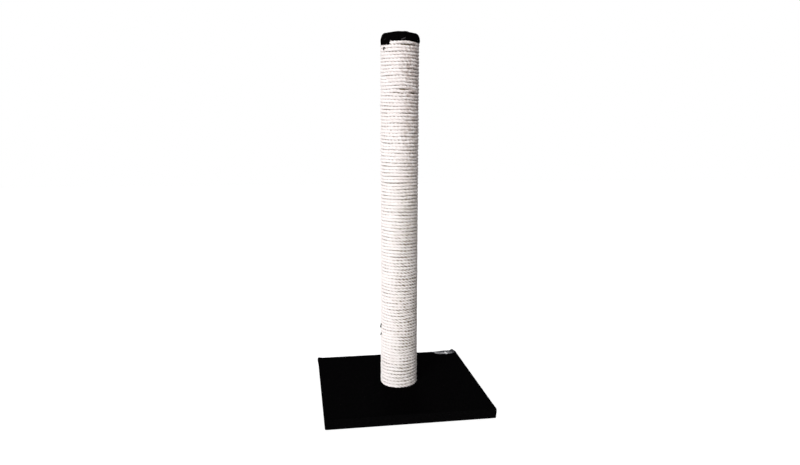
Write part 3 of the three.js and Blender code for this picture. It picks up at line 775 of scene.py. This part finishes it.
def press_staples(points):
    """Dents the flaps' lower side round the crowns of the base's staples."""
    depth = np.zeros(len(points))
    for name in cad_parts:
        if name.startswith("base_staple"):
            low, high = (np.array(corner[:2]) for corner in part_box(name))
            aside = (points[:, :2] - (low + high) / 2) / ((high - low) / 2 + FLAP_DENT_MARGIN)
            depth += FLAP_DENT * np.exp(-(aside ** 4).sum(1))
    points[:, 2] += depth * (points[:, 2] < CARPET_THICK / 2)
    return points


def corner_bulge(ring, height):
    """How far the folds at the corners push a ring of the carpet's side outwards."""
    total = np.zeros(len(ring))
    for signs, size in CORNER_BULGES.items():
        near = np.linalg.norm(ring - np.array(signs) * HALF_BASE, axis=1)
        total += size * MM * np.exp(-((near / CORNER_BULGE_REACH) ** 2))
    return total * math.exp(-((height / BASE_TOP - BULGE_HEIGHT) / BULGE_SPREAD) ** 2)


class SheetMesh:
    """Points and faces of a sheet that grows row by row."""

    def __init__(self):
        self.points = []
        self.faces = []

    def add(self, points):
        """Adds a row of points and returns their numbers."""
        numbers = np.arange(len(points)) + sum(map(len, self.points))
        self.points.append(points)
        return numbers

    def join(self, row, following, closed):
        """Quads between two rows of the same length."""
        if closed:
            row, following = np.append(row, row[0]), np.append(following, following[0])
        self.faces += np.stack([row[:-1], following[:-1], following[1:], row[1:]], -1).tolist()


def carpet_top(sheet, lines):
    """Adds the top with the bolt's hole. Returns its rim, counter-clockwise."""
    grid = np.stack(np.meshgrid(lines, lines, indexing="ij"), -1).reshape(-1, 2)
    grid = round_corners(grid, lines[-1])
    along_x, along_y = grid[:, 0] * TOP_SWELLS[0], grid[:, 1] * TOP_SWELLS[1]
    level = BASE_TOP + TOP_SWELL * np.sin(along_x + 1) * np.sin(along_y + 2)
    sheet.add(np.column_stack([grid, level]))
    row, last = len(lines), len(lines) - 1
    first = (np.arange(last)[:, None] * row + np.arange(last)).ravel()
    quads = np.stack([first, first + row, first + row + 1, first + 1], -1)
    middle = grid[quads].mean(1)
    sheet.faces += quads[np.hypot(middle[:, 0], middle[:, 1]) > BOLT_HOLE].tolist()
    step = np.arange(last)
    return np.concatenate([step * row, last * row + step, (last - step) * row + last, last - step])


def carpet_flap(sheet, rim, base_row, side):
    """Adds one flap under the board, from the row at the foot of that side."""
    tangent = SIDE_WAYS[side, :2]
    inward = np.array([-tangent[1], tangent[0]])
    along = rim @ tangent
    rows = round((FLAP_WIDTH - CARPET_EDGE) / CARPET_CELL)
    for step in range(1, rows + 1):
        depth = CARPET_EDGE + (FLAP_WIDTH - CARPET_EDGE) * step / rows
        reach = HALF_BASE - depth - MITRE_SLIT / 2
        place = tangent * (along * min(1, reach / along.max()))[:, None] - inward * (HALF_BASE - depth)
        lift = FLAP_SWELL * np.sin(along * FLAP_SWELLS + side) ** 2
        row = sheet.add(np.column_stack([place, lift]))
        sheet.join(base_row, row, closed=False)
        base_row = row


def base_carpet(material):
    """One sheet over the board, down its sides and under it as four mitred flaps."""
    half = HALF_BASE - CARPET_EDGE
    lines = carpet_lines(half)
    sheet = SheetMesh()
    row = carpet_top(sheet, lines)
    rim = sheet.points[0][row, :2]
    away = unit(rim - np.clip(rim, -(half - CARPET_CORNER), half - CARPET_CORNER))
    for out, height in carpet_profile():
        ring = rim + away * out
        ring = ring + away * corner_bulge(ring, height)[:, None]
        following = sheet.add(np.column_stack([ring, np.full(len(ring), height)]))
        sheet.join(row, following, closed=True)
        row = following
    per_side = len(lines) - 1
    for side in range(len(SIDE_WAYS)):
        run = side * per_side + np.arange(2, per_side - 1)
        carpet_flap(sheet, rim[run], row[run], side)
    piece = piece_from("carpet_over_base", np.concatenate(sheet.points), sheet.faces)
    roughen(piece, PILE_ROUGH, above=2 * MM)
    thicken(piece, CARPET_THICK)
    move_points(piece, press_folds(press_staples(vectors(piece.data.vertices, "co"))))
    finished(piece, "carpet", material, "base_carpet")


def edge_fibres(material):
    """Pile that stands off the base's edges."""
    along = RNG.uniform(-1, 1, EDGE_FIBRES) * (HALF_BASE - CARPET_EDGE)
    turn = RNG.uniform(0, math.pi / 2, EDGE_FIBRES)
    out = HALF_BASE - CARPET_EDGE * (1 - np.sin(turn)) - EDGE_SUNK
    height = BASE_TOP - CARPET_EDGE * (1 - np.cos(turn)) - EDGE_SUNK
    tangent = SIDE_WAYS[RNG.integers(0, len(SIDE_WAYS), EDGE_FIBRES)]
    outward = np.stack([tangent[:, 1], -tangent[:, 0], tangent[:, 2]], -1)
    roots = tangent * along[:, None] + outward * out[:, None]
    roots[:, 2] = height
    roots = press_folds(roots)
    way = outward * np.sin(turn)[:, None] + RNG.normal(0, 0.35, (EDGE_FIBRES, 3))
    way[:, 2] += np.cos(turn)
    lengths = RNG.uniform(*EDGE_LENGTHS, EDGE_FIBRES)
    hairs("carpet_pile_edge", "carpet", material, roots, way, lengths, EDGE_RADIUS, 0.2, segments=2)


# ---- Cap ----


def cap_waves(angle, places):
    """Rises at places round the cap, each with a width of its own on either side."""
    total = np.zeros_like(angle)
    for where, rise, before, after in places:
        total += rise * MM * bell(angle, where, before, after)
    return total


def cap_pleats(angle):
    """Narrow folds round the skirt, from 0 between them to 1, each leaning over to one side."""
    places = (np.arange(CAP_PLEATS) + RNG.uniform(-0.3, 0.3, CAP_PLEATS)) * 360 / CAP_PLEATS
    sizes = RNG.uniform(0.45, 1, CAP_PLEATS)
    total = np.zeros_like(angle)
    for where, size in zip(places, sizes):
        total = np.maximum(total, size * bell(angle, where, *CAP_PLEAT_WIDTHS))
    return total


def cap_dents(angle, height):
    """From 0 to 1, how far the staples press the skirt in."""
    total = np.zeros_like(angle)
    level = sum(corner.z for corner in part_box("cap_staple_1")) / 2
    flat, steep = math.cos(CAP_STAPLE_TILT), math.sin(CAP_STAPLE_TILT)
    for number in range(CAP_STAPLES):
        where = math.radians(CAP_STAPLE_ANGLE + number * 360 / CAP_STAPLES)
        aside = past(angle, where) * STAPLE_SEAT
        above = height - level
        along, across = aside * flat + above * steep, above * flat - aside * steep
        total += np.exp(-((along / STAPLE_REACH[0]) ** 4) - (across / STAPLE_REACH[1]) ** 2)
    return total.clip(0, 1)


def cap_edge(angle):
    """Height of the skirt's lower edge, which follows the rope's first turn."""
    swept = (angle - ROPE_END) % FULL_TURN / FULL_TURN
    start, span = CAP_DESCENT_SPAN
    return CAP_EDGE - CAP_DESCENT * ease((swept - start) / span) + cap_waves(angle, CAP_EDGE_WAVES)


def cap_middle(gather):
    """Rings of the flat middle, crowned a little and rising to the gathers at its rim."""
    rings = []
    for share in CAP_FLAT_RINGS:
        height = CAP_RIM + gather * share ** 4 + CAP_CROWN * (1 - share ** 2)
        rings.append((CAP_FLAT_RADIUS * share, height))
    return rings


def cap_shoulder(angle, gather, pleat):
    """Rings from the rim over the shoulder, down to the skirt's widest."""
    side = CAP_SIDE + CAP_LEAN * np.cos(angle - CAP_LEAN_ANGLE)
    rings = []
    for share in np.linspace(0, 1, CAP_SHOULDER_RINGS + 1)[1:]:
        turn = math.pi / 2 * (1 - (1 - share) ** CAP_RING_SPACING)
        out = math.sin(turn) ** CAP_SHOULDER
        down = 1 - max(math.cos(turn), 0) ** CAP_SHOULDER
        pleated = CAP_PLEAT_DEPTH * (pleat - CAP_PLEAT_MEAN) * out ** 2
        radius = CAP_FLAT_RADIUS + (side - CAP_FLAT_RADIUS) * out + pleated
        rings.append((radius, CAP_RIM + gather - (CAP_DEPTH + gather) * down))
    return rings


def cap_rings(angle):
    """Rings of the cap from the middle of its top, over the rim, down the skirt and up inside it."""
    gather, pleat = cap_waves(angle, CAP_GATHERS), cap_pleats(angle)
    edge = cap_edge(angle) + wander(angle, *CAP_EDGE_WANDER) + CAP_PLEAT_RISE * (pleat - 0.5)
    rings = cap_middle(gather) + cap_shoulder(angle, gather, pleat)
    widest, low = rings[-1]
    for share in CAP_SKIRT_RINGS:
        rings.append((widest - CAP_TUCK * share ** 2, low + (edge - low) * share))
    rings = [(np.minimum(radius, radius + (STAPLE_SEAT - radius) * cap_dents(angle, height)), height)
             for radius, height in rings]
    outer = widest - CAP_TUCK
    for share, rise in CAP_HEM:
        rings.append((outer + (CAP_INNER - outer) * share, edge + rise * MM))
    for share in CAP_CEILING_RINGS:
        rings.append((CAP_INNER * share, np.full_like(angle, CAP_CEILING)))
    return rings


def cap_carpet(material):
    """A round of the same carpet, gathered over the post's top, with its edge laid along the rope."""
    angle = ROPE_END + CAP_STEP / 2 + np.linspace(0, FULL_TURN - CAP_STEP, CAP_COLUMNS)
    rings = cap_rings(angle)
    points = [np.stack([r * np.cos(angle), r * np.sin(angle), z], -1) for r, z in rings]
    faces = ring_faces(len(rings), CAP_COLUMNS) + end_faces(len(rings), CAP_COLUMNS)
    piece = piece_from("gathered_cap", points, [face[::-1] for face in faces])
    roughen(piece, PILE_ROUGH, above=0)
    finished(piece, "carpet", material, "cap_carpet")


def cap_fibres(material):
    """Loose black fibres at the skirt's lower edge."""
    angle = RNG.uniform(0, FULL_TURN, CAP_FIBRES)
    outward = outward_at(angle)
    roots = outward * (CAP_SIDE - CAP_TUCK)
    roots[:, 2] = cap_edge(angle) + CAP_FIBRE_RISE
    way = outward * 0.25 + RNG.normal(0, 0.4, (CAP_FIBRES, 3))
    way[:, 2] -= 0.8
    lengths = RNG.uniform(*CAP_FIBRE_LENGTHS, CAP_FIBRES)
    hairs("cap_edge_fibres", "carpet", material, roots, way, lengths, CAP_FIBRE_RADIUS, 0.25, segments=2)


def tuft(name, material, angle, high, low, width, count):
    """Black carpet fibres caught between the rope's turns, spread at their upper ends."""
    aside = RNG.uniform(-0.5, 0.5, count)
    roots = outward_at(angle + aside * width / ROPE_SURFACE) * TUFT_ROOTS
    roots[:, 2] = high - np.abs(RNG.normal(0, 0.5 * MM, count))
    tips = outward_at(np.full(count, angle)) * TUFT_TIPS
    tips[:, 2] = low
    tips += RNG.normal(0, 0.35 * MM, (count, 3))
    way = tips - roots
    lengths = np.linalg.norm(way, axis=1) * RNG.uniform(0.7, 1, count)
    hairs(name, "carpet", material, roots, way, lengths, TUFT_RADIUS, 0.08)


# ---- Sticker ----


def sticker(material):
    """Blank half-oval sticker whose rear right corner has curled up."""
    centre = (LABEL_LOW.x + LABEL_HIGH.x) / 2
    half_width = (LABEL_HIGH.x - LABEL_LOW.x) / 2
    depth = LABEL_HIGH.y - LABEL_LOW.y
    square_x, square_y = STICKER_SQUARE
    share = np.linspace(0.02, 1, STICKER_ARCS)
    turn = np.linspace(0, math.pi, STICKER_COLUMNS)
    share, turn = np.meshgrid(share, turn, indexing="ij")
    x = centre + half_width * share * np.sign(np.cos(turn)) * np.abs(np.cos(turn)) ** square_x
    y = LABEL_HIGH.y - depth * share * np.sin(turn) ** square_y
    z = np.full_like(x, LABEL_LOW.z + PILE_PROUD + STICKER_LIFT)
    for (near_x, near_y), (wide_x, wide_y), rise in STICKER_CREASES:
        aside_x, aside_y = (x / MM - near_x) / wide_x, (y / MM - near_y) / wide_y
        z += rise * MM * np.exp(-(aside_x ** 2) - aside_y ** 2)
    sheet = SheetMesh()
    rows = [sheet.add(row) for row in np.stack([x, y, z], -1)]
    for row, following in zip(rows, rows[1:]):
        sheet.join(row, following, closed=False)
    sheet.faces.append(rows[0].tolist()[::-1])
    faces = [face[::-1] for face in sheet.faces]
    piece = piece_from("blank_sticker", np.concatenate(sheet.points), faces)
    thicken(piece, STICKER_THICK)
    finished(piece, "label", material, "corner_label")


# ---- Stage, lights and camera ----


def towards_side(azimuth, elevation):
    """Unit vector towards a side, by its azimuth about +Z from -Y and its elevation."""
    level = math.cos(elevation)
    return Vector((math.sin(azimuth) * level, -math.cos(azimuth) * level, math.sin(elevation)))


def white_for_camera(tree, lit, plain):
    """Mixes a lit shader with one that the camera and reflections see."""
    path = tree.nodes.new("ShaderNodeLightPath")
    seen = path.outputs["Is Camera Ray"]
    for ray in ("Is Glossy Ray", "Is Transmission Ray"):
        either = tree.nodes.new("ShaderNodeMath")
        either.operation = "MAXIMUM"
        tree.links.new(seen, either.inputs[0])
        tree.links.new(path.outputs[ray], either.inputs[1])
        seen = either.outputs[0]
    mixed = tree.nodes.new("ShaderNodeMixShader")
    for number, socket in enumerate((seen, lit, plain)):
        tree.links.new(socket, mixed.inputs[number])
    return mixed.outputs[0]


def make_world():
    """A dim white sky that the camera and reflections see as plain white."""
    world = bpy.data.worlds.new("studio")
    world.use_nodes = True
    tree = world.node_tree
    soft = tree.nodes["Background"]
    plain = tree.nodes.new("ShaderNodeBackground")
    for sky, strength in ((soft, WORLD_STRENGTH), (plain, 1.0)):
        sky.inputs["Color"].default_value = WHITE
        sky.inputs["Strength"].default_value = strength
    shown = white_for_camera(tree, soft.outputs[0], plain.outputs[0])
    tree.links.new(shown, tree.nodes["World Output"].inputs["Surface"])
    bpy.context.scene.world = world


def make_floor():
    """A plain white floor that keeps a faint shadow of the post."""
    corners = [(x * FLOOR_REACH, y * FLOOR_REACH, 0) for x, y in ((-1, -1), (1, -1), (1, 1), (-1, 1))]
    floor = piece_from("floor", corners, [[0, 1, 2, 3]], smooth=False)
    made = Finish("floor_white", 0.9, specular=0.0)
    made.color(FLOOR_GREY)
    glow = made.node("Emission", Color=WHITE, Strength=FLOOR_GLOW)
    both = made.node("AddShader")
    made.put(both.inputs[0], made.shader.outputs[0])
    made.put(both.inputs[1], glow.outputs[0])
    shown = white_for_camera(made.tree, made.shader.outputs[0], both.outputs[0])
    made.put(made.tree.nodes["Material Output"].inputs["Surface"], shown)
    floor.data.materials.append(made.material)


def add_sun(name, azimuth, elevation, strength, softness):
    """A soft distant lamp that shines from that side, all in degrees."""
    lamp = bpy.data.lights.new(name, "SUN")
    lamp.energy = strength
    lamp.angle = math.radians(softness)
    sun = bpy.data.objects.new(name, lamp)
    backward = towards_side(math.radians(azimuth), math.radians(elevation))
    sun.rotation_mode = "QUATERNION"
    sun.rotation_quaternion = backward.to_track_quat("Z", "Y")
    bpy.context.scene.collection.objects.link(sun)


def make_camera():
    """The photograph's camera, from its place, direction, roll and focal length."""
    ahead = -towards_side(CAMERA_AZIMUTH, CAMERA_PITCH)
    level = ahead.cross(Vector((0, 0, 1))).normalized()
    above = level.cross(ahead)
    right = level * math.cos(CAMERA_ROLL) + above * math.sin(CAMERA_ROLL)
    up = above * math.cos(CAMERA_ROLL) - level * math.sin(CAMERA_ROLL)
    lens = bpy.data.cameras.new("camera")
    lens.sensor_width = SENSOR
    lens.lens = SENSOR * CAMERA_FOCAL / IMAGE_WIDTH
    camera = bpy.data.objects.new("camera", lens)
    turned = Matrix((right, up, -ahead)).transposed()
    camera.matrix_world = Matrix.Translation(CAMERA_PLACE) @ turned.to_4x4()
    bpy.context.scene.collection.objects.link(camera)
    bpy.context.scene.camera = camera


def dress_frame():
    """Finishes for the frame's own nodes, which stay as they are."""
    metal = zinc("zinc")
    # one staple gets a lighter copy of the blackened wire: a painted highlight
    wear_and_highlight = dull_wire("highlighted_wire", rgb(58, 56, 60), rgb(104, 102, 106))
    black = dull_wire("black_wire", rgb(12, 12, 13), rgb(30, 29, 31))
    finishes = {
        "base_board": chipboard("chipboard"),
        "post_tube": cardboard("cardboard"),
        "foot_plug": pine("pine_foot"),
        "top_plug": pine("pine_top"),
    }
    for number in range(1, CAP_STAPLES + 1):
        finishes[f"cap_staple_{number}"] = wear_and_highlight if number == HIGHLIGHTED_STAPLE else black
    for name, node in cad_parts.items():
        for slot in node.material_slots:
            slot.material = finishes.get(name, metal)


# ---- The scene ----

make_camera()
make_world()
make_floor()
for lamp_name, settings in LAMPS.items():
    add_sun(lamp_name, *settings)
bpy.context.scene.view_settings.view_transform = "Standard"

SISAL = sisal("sisal")
CARPET = carpet("black_carpet")

dress_frame()
rope_strands(SISAL)
rope_fibres(SISAL)
base_carpet(CARPET)
edge_fibres(CARPET)
cap_carpet(CARPET)
cap_fibres(CARPET)
for number, (where, high, low, width, count) in enumerate(TUFTS, 1):
    tuft(f"carpet_tuft_{number}", CARPET, math.radians(where), high * MM, low * MM, width * MM, count)
sticker(foil("foil"))
